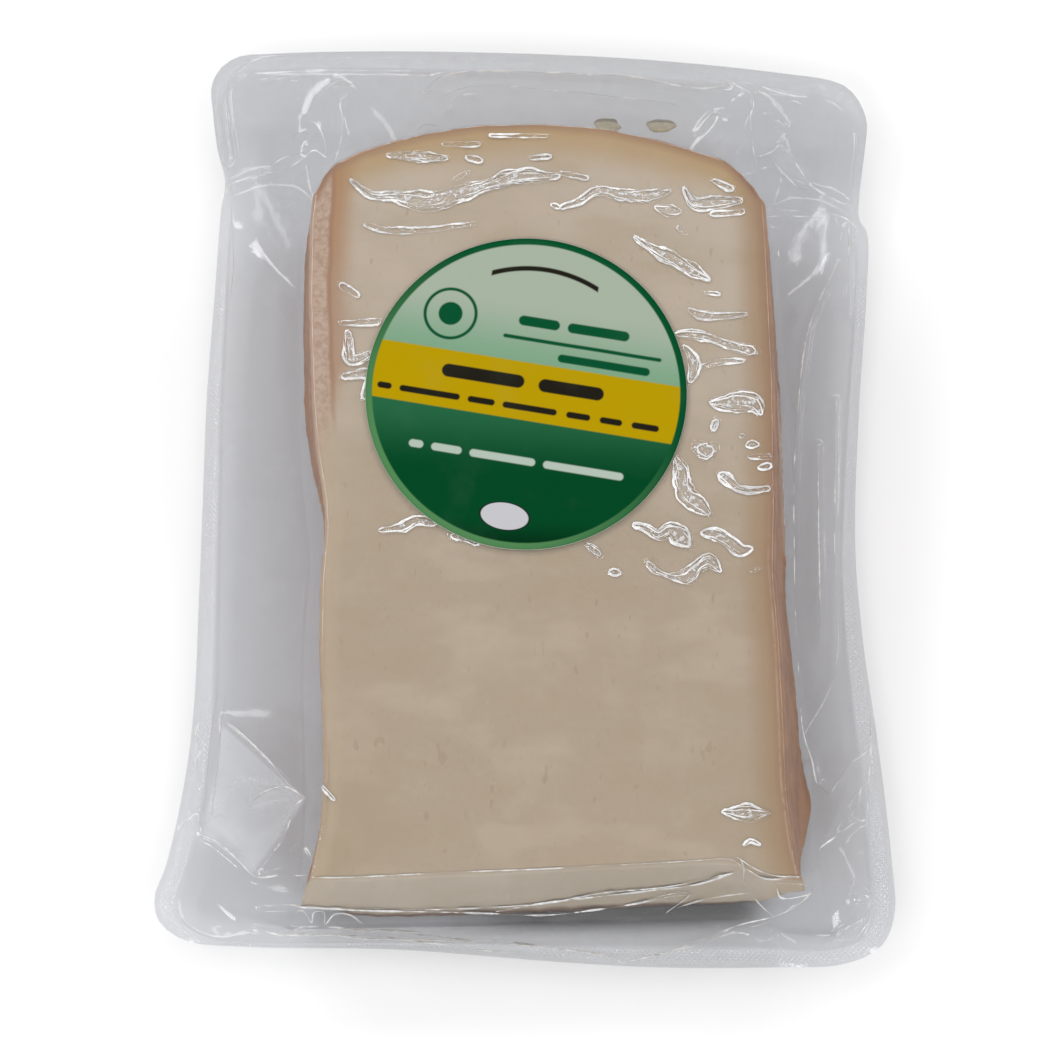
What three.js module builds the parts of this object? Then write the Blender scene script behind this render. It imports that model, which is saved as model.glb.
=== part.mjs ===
// A slab of goat cheese sealed in clear film, with a round paper label on its top face.
// Millimetres, +Z up. The origin is on the ground under the middle of the pack,
// +X runs across the pack and +Y from the cut front of the slab to its rind end.
//
// The pack is one closed solid: the film drawn tight over the slab, and the flat
// double film round it that ends in a welded edge. The slab inside is part of it.

import * as THREE from 'three';
import { mergeVertices } from 'three/addons/utils/BufferGeometryUtils.js';

// The slab: a thick slice cut across a wheel, thicker at its rind end

const SLAB = {
  middle: new THREE.Vector2(2.6, -6.8),
  turn: THREE.MathUtils.degToRad(3.2),
  halfWidth: 35.2,
  front: -57.0, // the front edge, at the slab's middle
  frontSlant: 0.025, // the front edge leans back towards the right
  crown: 59.3, // the highest point of the arched rind end
  crownRadius: 62,
  chamferStart: 29, // the far right corner is cut off straight from here
  chamferSlope: 1.15,
  roundStart: 29.5, // the far left corner is rounded from here
  roundDrop: 6.9,
  roundPower: 2.3,
};

// The top face is a plane that rises towards the rind end
const TOP = { height: 27.6, at: 8.0, rise: 0.08, film: 0.2, edgeRound: 1.5 };

// How far the film's foot stands outside the top face, at the four corners
const FOOT = {
  frontLeft: new THREE.Vector2(-6.0, -7.6),
  frontRight: new THREE.Vector2(9.0, -8.5),
  backLeft: new THREE.Vector2(-6.5, 6.0),
  backRight: new THREE.Vector2(7.0, 6.0),
  height: 2.4,
};

// The welded edge of the pack: corners, and the stations between them.
// The sides are pulled in by the vacuum, and the far edge is lifted.

const EDGE = {
  frontLeft: [-56.6, -72.6, 5.4],
  front: [
    [-52.2, -75.4, 5.5], [-43.0, -76.1, 5.6], [-19.4, -75.9, 5.8], [6.0, -77.1, 6.0],
    [20.0, -77.5, 6.0], [38.0, -77.1, 5.7], [50.5, -76.2, 5.5],
  ],
  frontRight: [56.2, -73.4, 5.4],
  right: [
    [58.4, -68.5, 5.5], [58.2, -60.0, 5.5], [56.7, -42.0, 5.2], [54.8, -25.0, 5.0],
    [54.0, -9.0, 4.9], [55.4, 16.5, 5.0], [57.0, 34.8, 5.4], [57.3, 46.0, 6.0],
    [56.1, 49.8, 6.3], [56.1, 54.0, 6.6], [57.1, 64.0, 7.8],
  ],
  backRight: [54.6, 70.2, 9.0],
  back: [
    [49.0, 75.0, 9.4], [42.0, 75.6, 10.0], [27.7, 76.6, 11.0], [10.0, 77.0, 12.0],
    [-12.0, 77.3, 12.0], [-34.3, 77.5, 11.0], [-48.0, 77.4, 9.6],
  ],
  backLeft: [-56.0, 74.0, 9.0],
  left: [
    [-58.4, 67.5, 8.0], [-57.2, 60.0, 7.0], [-55.4, 53.5, 6.5], [-55.8, 49.0, 6.2],
    [-55.9, 32.0, 5.5], [-55.9, 14.0, 5.0], [-55.2, -4.0, 4.9], [-54.5, -21.0, 4.9],
    [-53.9, -40.0, 5.0], [-54.5, -52.0, 5.2], [-56.2, -64.0, 5.4], [-57.6, -69.0, 5.4],
  ],
};
const EDGE_SAMPLES = 240; // steps in which each side of the edge is measured

// The double film outside the slab, with the ridge that the welding bar leaves
const WEB = { thickness: 0.8, ridge: 0.5, ridgeInset: 3.4 };

// Tents: where the film is stretched from the slab to the edge in a crest.
// Each crest runs from one point to another, and its flanks end at a distance from it.

const TENTS = [
  // Front left, a flat facet low on the slab's side, between two crests
  { from: [-33.5, -53.0, 12.0], to: [-50.5, -40.0, 5.0], flank: 9 },
  { from: [-33.5, -53.0, 12.0], to: [-50.0, -56.0, 5.4], flank: 12 },
  { from: [-33.5, -53.0, 12.0], to: [-42.0, -66.0, 5.0], flank: 9 },
  // Front right, under the slab's corner
  { from: [33.0, -63.0, 17.0], to: [40.0, -72.0, 4.8], flank: 8 },
  { from: [40.0, -58.0, 16.0], to: [51.0, -66.0, 5.2], flank: 9 },
  { from: [45.0, -62.0, 7.5], to: [55.0, -43.5, 5.2], flank: 6 },
  // Far right, to the notch in the side and to the far edge
  { from: [34.0, 41.0, 22.0], to: [55.5, 49.5, 6.6], flank: 11 },
  { from: [31.0, 45.0, 23.0], to: [37.0, 72.0, 11.0], flank: 11 },
  // Far left, to the far edge and to the notch in the side
  { from: [-30.0, 46.0, 23.0], to: [-36.0, 72.0, 11.2], flank: 11 },
  { from: [-33.5, 40.0, 22.0], to: [-54.0, 49.5, 6.8], flank: 11 },
];

// The paper label, stuck on the film
const LABEL = { radius: 25, thickness: 0.35, gap: 0.3, at: new THREE.Vector2(-1.2, 8.0), sides: 64 };

// Number of faces: round the top face, closer near its corners, then outwards in rings
const ACROSS = 30;
const ALONG = 46;
const CORNER_DENSITY = 0.6;
const WALL_RINGS = [0.06, 0.14, 0.4, 0.68, 0.88, 1.0]; // share of the way down to the film's foot
const WEB_RINGS = [0.12, 0.3, 0.5, 0.66]; // share of the way out to the welded edge
const SEAL_INSETS = [5.0, 3.4, 1.8, 0.0]; // then by the distance from the edge
const SEAL_SHARE = 0.7; // of the web at most, where it is narrow

const { clamp, lerp, smoothstep } = THREE.MathUtils;

function topHeight(y) {
  return TOP.height + TOP.rise * (y - TOP.at) + TOP.film;
}

// A point of the slab's own plan, turned and moved to its place in the pack
function place(u, v) {
  return new THREE.Vector2(u, v).rotateAround(new THREE.Vector2(), SLAB.turn).add(SLAB.middle);
}

function backEdge(u) {
  const arch = SLAB.crown - (u * u) / (2 * SLAB.crownRadius);
  const chamfer = SLAB.chamferSlope * Math.max(0, u - SLAB.chamferStart);
  const past = Math.max(0, -u - SLAB.roundStart) / (SLAB.halfWidth - SLAB.roundStart);
  return arch - chamfer - SLAB.roundDrop * Math.pow(past, SLAB.roundPower);
}

// The top face as a four-sided patch: a runs across and b along, both from 0 to 1
function topFace(a, b) {
  const u = lerp(-SLAB.halfWidth, SLAB.halfWidth, a);
  const front = SLAB.front + SLAB.frontSlant * u;
  const sideEnd = lerp(backEdge(-SLAB.halfWidth), backEdge(SLAB.halfWidth), a);
  const arch = (backEdge(u) - sideEnd) * smoothstep(b, 0.35, 1) ** 2;
  return place(u, lerp(front, sideEnd, b) + arch);
}

// How far the film's foot stands out from the point a, b of the top face's outline
function footOffset(a, b) {
  const front = FOOT.frontLeft.clone().lerp(FOOT.frontRight, a);
  const back = FOOT.backLeft.clone().lerp(FOOT.backRight, a);
  return front.lerp(back, b);
}

// One side of the pack's edge as points at equal distances, from corner to corner

const corners = ['frontLeft', 'frontRight', 'backRight', 'backLeft'];
const sides = ['front', 'right', 'back', 'left'];
const edgePoints = corners.flatMap((corner, i) => [EDGE[corner], ...EDGE[sides[i]]]);
const edgeCurve = new THREE.CatmullRomCurve3(
  edgePoints.map((p) => new THREE.Vector3(...p)), true, 'centripetal',
);

function edgeSide(index) {
  const starts = [0];
  for (const side of sides) starts.push(starts.at(-1) + EDGE[side].length + 1);
  const [from, to] = [starts[index], starts[index + 1]].map((n) => n / edgePoints.length);
  const points = [];
  for (let i = 0; i <= EDGE_SAMPLES; i++) {
    points.push(edgeCurve.getPoint(lerp(from, to, i / EDGE_SAMPLES) % 1));
  }
  const reach = [0];
  for (let i = 1; i < points.length; i++) reach.push(reach[i - 1] + points[i].distanceTo(points[i - 1]));
  return (t) => {
    const wanted = t * reach.at(-1);
    const i = clamp(reach.findIndex((r) => r >= wanted), 1, EDGE_SAMPLES);
    const share = (wanted - reach[i - 1]) / (reach[i] - reach[i - 1]);
    return points[i - 1].clone().lerp(points[i], share);
  };
}

// The outline of the top face, counter-clockwise, each point with its place on the pack's edge

function outline() {
  const [front, right, back, left] = [0, 1, 2, 3].map(edgeSide);
  const around = [];
  const along = (count, pointOf) => {
    for (let i = 0; i < count; i++) {
      const even = i / count;
      pointOf(lerp(even, 0.5 - 0.5 * Math.cos(Math.PI * even), CORNER_DENSITY));
    }
  };
  along(ACROSS, (t) => around.push({ a: t, b: 0, edge: front(t) }));
  along(ALONG, (t) => around.push({ a: 1, b: t, edge: right(t) }));
  along(ACROSS, (t) => around.push({ a: 1 - t, b: 1, edge: back(t) }));
  along(ALONG, (t) => around.push({ a: 0, b: 1 - t, edge: left(t) }));
  return around;
}

// Height of the film at a point, with the tents that it lies under

function tentHeight(p) {
  let lift = 0;
  for (const { from, to, flank } of TENTS) {
    const start = new THREE.Vector3(...from);
    const crest = new THREE.Line3(start.clone().setZ(0), new THREE.Vector3(to[0], to[1], 0));
    const flat = new THREE.Vector3(p.x, p.y, 0);
    const share = crest.closestPointToPointParameter(flat, true);
    const away = crest.at(share, new THREE.Vector3()).distanceTo(flat) / flank;
    const height = lerp(from[2], to[2], share) - p.z;
    if (away < 1 && height > 0) lift = Math.max(lift, height * (1 - away ** 2) ** 2);
  }
  return p.z + lift;
}

// The film down the slab's side: rounded over the edge, straight, then a hollow at the foot
function wallPoint(start, share) {
  const from = topFace(start.a, start.b);
  const point = from.clone().addScaledVector(footOffset(start.a, start.b), share);
  const top = topHeight(from.y);
  const round = TOP.edgeRound * (1 - Math.sqrt(1 - Math.min(1, share / 0.14) ** 2));
  const fall = Math.max(0, (share - 0.14) / 0.86);
  const straight = (top - FOOT.height - TOP.edgeRound) * (1 - (1 - fall) ** 1.4);
  return new THREE.Vector3(point.x, point.y, top - round - straight);
}

// The flat film from the foot out to the welded edge, rising evenly, with the ridge of the weld
function webPoint(start, ring) {
  const foot = wallPoint(start, 1);
  const width = foot.distanceTo(start.edge);
  const scale = Math.min(1, (SEAL_SHARE * width) / SEAL_INSETS[0]);
  const open = 1 - (scale * SEAL_INSETS[0]) / width;
  const seal = ring - WEB_RINGS.length;
  const share = seal < 0 ? WEB_RINGS[ring] * open : 1 - (scale * SEAL_INSETS[seal]) / width;
  const point = foot.lerp(start.edge, share);
  if (SEAL_INSETS[seal] === WEB.ridgeInset) point.z += WEB.ridge * scale;
  return point;
}

// The pack: an upper and a lower skin with the same plan, joined along the edge

function packGeometry() {
  const around = outline();
  const positions = [];
  const faces = [];
  const addRing = (points, lowOf) => {
    const first = positions.length / 6;
    for (const p of points) positions.push(p.x, p.y, tentHeight(p), p.x, p.y, lowOf(p));
    return first;
  };
  const joinRings = (inner, outer) => {
    for (let k = 0; k < around.length; k++) {
      const next = (k + 1) % around.length;
      const [p, q, r, s] = [inner + k, outer + k, outer + next, inner + next].map((n) => 2 * n);
      faces.push(p, q, r, p, r, s);
      faces.push(p + 1, r + 1, q + 1, p + 1, s + 1, r + 1);
    }
  };

  const onGround = () => 0;
  const underFilm = (p) => Math.max(0, p.z - WEB.thickness);
  const plan = around.map(({ a, b }) => topFace(a, b));
  let ring = addRing(plan.map((p) => new THREE.Vector3(p.x, p.y, topHeight(p.y))), onGround);
  for (const [p, q, r] of THREE.ShapeUtils.triangulateShape(plan, [])) {
    faces.push(2 * p, 2 * q, 2 * r, 2 * p + 1, 2 * r + 1, 2 * q + 1);
  }
  const grow = (pointOf, lowOf) => {
    const next = addRing(around.map(pointOf), lowOf);
    joinRings(ring, next);
    ring = next;
  };
  for (const share of WALL_RINGS) grow((start) => wallPoint(start, share), onGround);
  const webRings = WEB_RINGS.length + SEAL_INSETS.length;
  for (let n = 0; n < webRings; n++) grow((start) => webPoint(start, n), underFilm);

  for (let k = 0; k < around.length; k++) {
    const [p, q] = [ring + k, ring + ((k + 1) % around.length)].map((n) => 2 * n);
    faces.push(p, p + 1, q + 1, p, q + 1, q);
  }

  const geometry = new THREE.BufferGeometry();
  geometry.setAttribute('position', new THREE.Float32BufferAttribute(positions, 3));
  geometry.setIndex(faces);
  return geometry;
}

// The label: a thin disc, laid on the slope of the top face

function labelGeometry() {
  const disc = new THREE.Shape().absarc(0, 0, LABEL.radius, 0, 2 * Math.PI);
  const options = { depth: LABEL.thickness, bevelEnabled: false, curveSegments: LABEL.sides / 2 };
  const geometry = new THREE.ExtrudeGeometry(disc, options);
  geometry.deleteAttribute('normal');
  geometry.deleteAttribute('uv');
  return mergeVertices(geometry);
}

const clearFilm = new THREE.MeshStandardMaterial({ color: 0xc3ab87, roughness: 0.15, metalness: 0 });
const labelPaper = new THREE.MeshStandardMaterial({ color: 0x2b8350, roughness: 0.4, metalness: 0 });

const pack = new THREE.Mesh(packGeometry(), clearFilm);
pack.name = 'vacuum_pack';

const label = new THREE.Mesh(labelGeometry(), labelPaper);
label.name = 'label';
label.position.set(LABEL.at.x, LABEL.at.y, topHeight(LABEL.at.y) + LABEL.gap);
label.rotation.x = Math.atan(TOP.rise);

const cheesePack = new THREE.Group();
cheesePack.add(pack, label);

export default cheesePack;
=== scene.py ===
# A slab of goat cheese in a clear vacuum pack, lying on its back with its label up.
# Measures are in millimetres in the pack's own frame, and become metres as each mesh is made.

from math import atan, cos, pi, radians, sin

import bmesh
import bpy
import numpy as np
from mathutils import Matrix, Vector
from mathutils.bvhtree import BVHTree


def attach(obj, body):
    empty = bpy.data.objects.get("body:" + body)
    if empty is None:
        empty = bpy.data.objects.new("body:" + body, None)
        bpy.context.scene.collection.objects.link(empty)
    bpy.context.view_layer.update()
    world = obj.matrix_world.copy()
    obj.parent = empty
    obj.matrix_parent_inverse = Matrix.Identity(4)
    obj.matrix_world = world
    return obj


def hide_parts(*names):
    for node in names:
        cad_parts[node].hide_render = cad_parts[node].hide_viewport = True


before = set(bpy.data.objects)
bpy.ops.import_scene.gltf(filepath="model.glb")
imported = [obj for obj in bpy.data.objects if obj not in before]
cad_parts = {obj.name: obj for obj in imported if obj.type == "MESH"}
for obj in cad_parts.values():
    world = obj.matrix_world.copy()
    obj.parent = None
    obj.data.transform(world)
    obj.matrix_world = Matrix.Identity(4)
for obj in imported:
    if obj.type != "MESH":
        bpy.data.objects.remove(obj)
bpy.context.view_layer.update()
scene = bpy.context.scene


# Studio
# A pale table under a camera that leans fifteen degrees from straight above, and five
# softboxes round the pack, about 45 degrees up, where flat film mirrors none of them to
# the camera and only its folds shine.

MM = 0.001
CAMERA_AT = (0.000586, -0.07586, 0.263)  # in metres, like the table and the softboxes
CAMERA_LEAN, CAMERA_TURN = radians(15), radians(1.5)
LENS, SENSOR_WIDTH = 54.96, 36  # in millimetres
ROOM_LIGHT = 0.62
TABLE_SIZE = 1.6
SOFTBOX_AWAY = 1.1
SOFTBOXES = [  # name, bearing, height in degrees, width, height, power
    ("softbox_far", 95, 45, 0.90, 0.15, 2.2),
    ("softbox_left", 162, 42, 0.62, 0.14, 2.1),
    ("softbox_right", 18, 42, 0.62, 0.14, 1.1),
    ("softbox_front_left", 234, 46, 0.62, 0.14, 2.5),
    ("softbox_front_right", 306, 46, 0.62, 0.14, 1.5),
]

camera = bpy.data.objects.new("camera", bpy.data.cameras.new("camera"))
camera.location = CAMERA_AT
camera.rotation_euler = (CAMERA_LEAN, 0, CAMERA_TURN)
camera.data.lens = LENS
camera.data.sensor_width = SENSOR_WIDTH
camera.data.clip_start = 0.01
scene.collection.objects.link(camera)
scene.camera = camera
scene.view_settings.view_transform = "Standard"

scene.world = bpy.data.worlds.new("soft_room")
scene.world.use_nodes = True
room = scene.world.node_tree.nodes["Background"]
room.inputs["Color"].default_value = (1.0, 1.0, 1.0, 1)
room.inputs["Strength"].default_value = ROOM_LIGHT


def softbox(name, bearing, height_angle, width, height, power):
    """A rectangular light aimed at the pack, its long side level."""
    light = bpy.data.lights.new(name, "AREA")
    light.shape, light.size, light.size_y, light.energy = "RECTANGLE", width, height, power
    lamp = bpy.data.objects.new(name, light)
    away = Vector((
        cos(radians(height_angle)) * cos(radians(bearing)),
        cos(radians(height_angle)) * sin(radians(bearing)),
        sin(radians(height_angle)),
    ))
    lamp.location = away * SOFTBOX_AWAY
    lamp.rotation_euler = away.to_track_quat("Z", "Y").to_euler()
    scene.collection.objects.link(lamp)


for values in SOFTBOXES:
    softbox(*values)


def srgb(red, green, blue):
    """A colour given as 0 to 255 on screen, as the linear colour that a shader takes."""
    return tuple(
        v / 12.92 if v <= 0.04045 else ((v + 0.055) / 1.055) ** 2.4
        for v in (red / 255, green / 255, blue / 255)
    ) + (1.0,)


class Signal:
    """A value in a material. Arithmetic on it adds the Math nodes."""

    def __init__(self, finish, socket):
        self.finish, self.socket = finish, socket

    def math(self, operation, *others):
        return self.finish.node("Math", {"operation": operation}, dict(enumerate((self, *others))))

    def __add__(self, other):
        return self.math("ADD", other)

    def __sub__(self, other):
        return self.math("SUBTRACT", other)

    def __rsub__(self, other):
        return self.math("MULTIPLY", -1.0) + other

    def __mul__(self, other):
        return self.math("MULTIPLY", other)

    def __truediv__(self, other):
        return self.math("DIVIDE", other)

    def __abs__(self):
        return self.math("ABSOLUTE")

    __radd__ = __add__
    __rmul__ = __mul__

    def larger(self, other):
        return self.math("MAXIMUM", other)

    def rise(self, low, high):
        """From 0 to 1, smoothly, as the value goes from low to high."""
        return self.finish.node(
            "MapRange", {"interpolation_type": "SMOOTHSTEP"},
            {"Value": self, "From Min": low, "From Max": high},
        )


class Finish:
    """A material that is being put together."""

    def __init__(self, name):
        self.material = bpy.data.materials.new(name)
        self.material.use_nodes = True
        self.tree = self.material.node_tree
        self.tree.nodes.clear()

    def node(self, kind, settings=None, sockets=None, output=0):
        """Adds a node with its settings, then the values or links of its sockets."""
        node = self.tree.nodes.new("ShaderNode" + kind)
        for name, value in (settings or {}).items():
            setattr(node, name, value)
        for name, value in (sockets or {}).items():
            if isinstance(value, Signal):
                self.tree.links.new(value.socket, node.inputs[name])
            else:
                node.inputs[name].default_value = value
        return Signal(self, node.outputs[output])

    def attribute(self, name):
        return self.node("Attribute", {"attribute_name": name}, output="Fac")

    def place(self, stretch=(1.0, 1.0, 1.0)):
        """The point on the piece, in millimetres, stretched along its axes."""
        point = self.node("TexCoord", output="Object")
        scale = tuple(s / MM for s in stretch)
        return self.node("Mapping", {"vector_type": "POINT"}, {"Vector": point, "Scale": scale})

    def noise(self, point, size, detail=2.0, roughness=0.5):
        """Cloudy noise whose patches are about size millimetres wide."""
        return self.node(
            "TexNoise", None,
            {"Vector": point, "Scale": 1 / size, "Detail": detail, "Roughness": roughness},
        )

    def mix(self, share, first, second):
        return self.node(
            "Mix", {"data_type": "RGBA", "clamp_factor": True},
            {0: share, 6: first, 7: second}, output=2,
        )

    def bump(self, height, depth):
        """A normal from a height of 0 to 1 that stands for depth millimetres."""
        return self.node("Bump", None, {"Height": height, "Distance": depth * MM, "Strength": 1.0})

    def surface(self, shader):
        """Ends the material with its shader."""
        end = self.tree.nodes.new("ShaderNodeOutputMaterial")
        self.tree.links.new(shader.socket, end.inputs["Surface"])
        return self.material

    def solid(self, sockets):
        """Ends the material as an opaque one, with these values or links of its sockets."""
        return self.surface(self.node("BsdfPrincipled", None, sockets))


def table_top():
    bm = bmesh.new()
    bmesh.ops.create_grid(bm, x_segments=8, y_segments=8, size=TABLE_SIZE)
    mesh = bpy.data.meshes.new("table_top")
    bm.to_mesh(mesh)
    bm.free()
    finish = Finish("pale_table")
    cloud = finish.noise(finish.place(), 60.0)
    paint = finish.mix(cloud, srgb(247, 247, 248), srgb(250, 250, 250))
    mesh.materials.append(finish.solid(
        {"Base Color": paint, "Roughness": 0.9, "Specular IOR Level": 0.1}
    ))
    top = bpy.data.objects.new("table_top", mesh)
    scene.collection.objects.link(top)


table_top()


# The slab of cheese
# A thick slice cut across a small wheel of pressed goat cheese. Its top and front are the
# pale cut paste, and its far end and two long sides are the washed, darker rind.

SLAB_MIDDLE = (2.6, -6.8)
SLAB_TURN = radians(3.2)
TOP_HEIGHT, TOP_AT, TOP_RISE = 27.6, 8.0, 0.08
LEFT_EDGE = [  # how far along the slab, and how far out its left edge lies there
    (-57.0, -36.6), (-54.5, -36.0), (-49.0, -34.8), (-42.0, -34.3), (-31.0, -34.5),
    (-23.7, -34.8), (-13.0, -34.6), (-5.4, -33.8), (-0.7, -34.0), (7.2, -35.2), (15.2, -35.8),
    (31.4, -36.2), (44.0, -35.9), (47.5, -35.4),
]
RIGHT_EDGE = [
    (-58.8, 34.8), (-53.9, 33.9), (-44.9, 33.3), (-35.5, 33.5), (-24.3, 33.6), (-12.1, 33.3),
    (-2.8, 34.1), (16.2, 35.0), (37.4, 35.3), (44.4, 35.2),
]
FRONT_EDGE = [(-36.6, -56.9), (-10.0, -56.7), (20.5, -56.0), (24.5, -56.1), (29.0, -58.3), (34.8, -58.8)]
FAR_EDGE = [
    (-35.4, 47.5), (-34.5, 50.5), (-32.7, 53.3), (-28.5, 55.5), (-23.0, 57.2), (-17.2, 58.5),
    (-9.9, 59.5), (0.0, 59.5), (10.1, 58.5), (16.5, 56.9), (22.8, 54.9), (29.4, 52.4),
    (31.9, 49.9), (34.4, 46.4), (35.2, 44.4),
]
WALL_ROUND = 0.14  # share of the way out where the rounded top edge ends
SLAB_LIFT = 0.3  # how high the underside of the slab is above the table


def ease(value, low, high):
    share = np.clip((value - low) / (high - low), 0, 1)
    return share * share * (3 - 2 * share)


def between(low, high, share):
    return low + (high - low) * share


def in_pack(u, v):
    """From the slab's own plan to the pack's."""
    x = cos(SLAB_TURN) * u - sin(SLAB_TURN) * v + SLAB_MIDDLE[0]
    y = sin(SLAB_TURN) * u + cos(SLAB_TURN) * v + SLAB_MIDDLE[1]
    return np.stack([x, y], -1)


def in_slab(plan):
    """From the pack's plan back to the slab's own."""
    x, y = plan[:, 0] - SLAB_MIDDLE[0], plan[:, 1] - SLAB_MIDDLE[1]
    return cos(SLAB_TURN) * x + sin(SLAB_TURN) * y, cos(SLAB_TURN) * y - sin(SLAB_TURN) * x


def on_edge(stations, at):
    """The edge that runs through the stations, with its corners softened."""
    places, values = np.array(stations).T
    return np.mean([np.interp(at + step, places, values) for step in (-0.9, -0.3, 0.3, 0.9)], axis=0)


def top_face(across, along):
    """The top face as a four-sided patch, both ways from 0 to 1."""
    side_end = between(FAR_EDGE[0][1], FAR_EDGE[-1][1], across)
    v = between(FRONT_EDGE[0][1], side_end, along)
    u = between(on_edge(LEFT_EDGE, v), on_edge(RIGHT_EDGE, v), across)
    front_end, far_end = on_edge(FRONT_EDGE, u), on_edge(FAR_EDGE, u)
    arch = (far_end - side_end) * ease(along, 0.35, 1) ** 2
    return in_pack(u, between(front_end, side_end, along) + arch)


def top_height(y):
    return TOP_HEIGHT + TOP_RISE * (y - TOP_AT)


def four_corners(across, along, front_left, front_right, back_left, back_right):
    """A value or vector that is given at the four corners, at points between them."""
    a, b = across[:, None], along[:, None]
    front = between(np.array(front_left), np.array(front_right), a)
    back = between(np.array(back_left), np.array(back_right), a)
    return between(front, back, b)


def foot_offset(across, along):
    return four_corners(across, along, (-6.0, -7.6), (9.0, -8.5), (-6.5, 6.0), (7.0, 6.0))


def wall_height(top, share):
    """Height of the film down the slab's side, as far out as share."""
    rounding = 1.5 * (1 - np.sqrt(1 - np.minimum(1, share / WALL_ROUND) ** 2))
    fall = np.maximum(0, (share - WALL_ROUND) / (1 - WALL_ROUND))
    return top - rounding - (top - 3.9) * (1 - (1 - fall) ** 1.4)


def waves(plan, size, seed):
    """Soft unevenness from -1 to 1, with swells about size millimetres apart."""
    dice = np.random.default_rng(seed)
    total = np.zeros(len(plan))
    for _ in range(7):
        angle, phase, stretch = dice.uniform(0, pi), dice.uniform(0, 2 * pi), dice.uniform(0.7, 1.6)
        run = plan[:, 0] * cos(angle) + plan[:, 1] * sin(angle)
        total += np.sin(2 * pi * run / (size * stretch) + phase)
    return total / 7


def skirted_patch(across, along, rings, closed=False):
    """A grid with rings of faces extruded from its edge.
    Each vertex holds its place: across and along from 0 to 1, and the number of its ring."""
    bm = bmesh.new()
    bmesh.ops.create_grid(bm, x_segments=across, y_segments=along, size=0.5)
    bmesh.ops.translate(bm, verts=bm.verts, vec=(0.5, 0.5, 0))
    rim = [edge for edge in bm.edges if edge.is_boundary]
    for _ in range(rings):
        grown = bmesh.ops.extrude_edge_only(bm, edges=rim)["geom"]
        verts = [item for item in grown if isinstance(item, bmesh.types.BMVert)]
        rim = [item for item in grown if isinstance(item, bmesh.types.BMEdge) and item.is_boundary]
        bmesh.ops.translate(bm, verts=verts, vec=(0, 0, 1))
    if closed:
        bmesh.ops.holes_fill(bm, edges=rim, sides=0)
    return bm


def shaped(bm, name, points, measures, finish):
    """Puts the vertices at their points, faces outwards, keeps measures, and links the piece."""
    for vert, point in zip(bm.verts, points * MM):
        vert.co = point
    bm.normal_update()
    first = next(iter(bm.faces))
    if first.normal.z < 0:
        bmesh.ops.reverse_faces(bm, faces=bm.faces)
    for face in bm.faces:
        face.smooth = True
    mesh = bpy.data.meshes.new(name)
    bm.to_mesh(mesh)
    bm.free()
    for measure, values in measures.items():
        mesh.attributes.new(measure, "FLOAT", "POINT").data.foreach_set(
            "value", np.asarray(values, np.float32)
        )
    mesh.materials.append(finish)
    piece = bpy.data.objects.new(name, mesh)
    scene.collection.objects.link(piece)
    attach(piece, "root")
    return piece


def parameters(bm):
    places = np.round([vert.co for vert in bm.verts], 6)
    return places[:, 0], places[:, 1], np.rint(places[:, 2]).astype(int)


CHEESE_SHARES = np.array([0, 0.02, 0.05, 0.08, 0.11, 0.15, 0.24, 0.36, 0.5, 0.64, 0.78, 0.9, 1.0])
CHEESE_DROPS = np.array([0.15, 0.35, 0.60, 0.80, 0.95, 1.0])  # then down to the ground
CHEESE_TUCKS = np.array([0.0, 0.0, 0.1, 0.45, 1.1, 2.2])  # and in under the rounded foot
CHEESE_TOES = np.array([0.5, 1.4, 2.0, 2.3, 2.1, 1.2])  # out, on the cut front, where it sagged


def outward_of(offset):
    return offset / np.linalg.norm(offset, axis=1)[:, None]


def cheese_points(across, along, ring):
    plan = top_face(across, along)
    top = top_height(plan[:, 1])
    reach = four_corners(across, along, (0.55,), (0.72,), (0.72,), (0.48,))[:, 0]
    reach *= 1 - 0.65 * (1 - ease(along, 0.02, 0.13)) * ease(across, 0.82, 1)
    upright = (1 - ease(along, 0.45, 0.75)) * ease(along, 0, 0.1) * (1 - ease(across, 0, 0.06))
    reach *= 1 - 0.75 * upright
    reach += 0.22 * np.exp(-((along - 0.17) / 0.04) ** 2) * (across >= 1)
    offset = foot_offset(across, along)
    share = CHEESE_SHARES[np.minimum(ring, len(CHEESE_SHARES) - 1)] * reach
    height = wall_height(top, share) - 0.35 * ease(share, 0, 0.1)
    height += 0.12 * waves(plan, 26, 3) * (ring == 0)
    place = plan + offset * share[:, None]
    rag = waves(np.stack([plan[:, 0] + 2 * plan[:, 1], plan[:, 1]], -1), 3.1, 9)
    place += outward_of(offset) * (rag * 0.22 * ease(share, 0, 0.05) * (share > 0))[:, None]
    low = np.maximum(0, ring - len(CHEESE_SHARES))
    under = ring >= len(CHEESE_SHARES)
    outward = outward_of(offset)
    place -= outward * (CHEESE_TUCKS[low] * under)[:, None]
    toe = CHEESE_TOES[low] * under * (along <= 0) * ease(across, 0.0, 0.15) * (1.05 - across)
    place += outward * toe[:, None]
    height = np.where(under, between(height, SLAB_LIFT, CHEESE_DROPS[low]), height)
    place += waves(np.stack([place[:, 0] + height, place[:, 1]], -1), 17, 5)[:, None] * (
        offset * 0.02 * ease(share, 0, 0.2)[:, None]
    )
    return np.column_stack([place, height])


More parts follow.
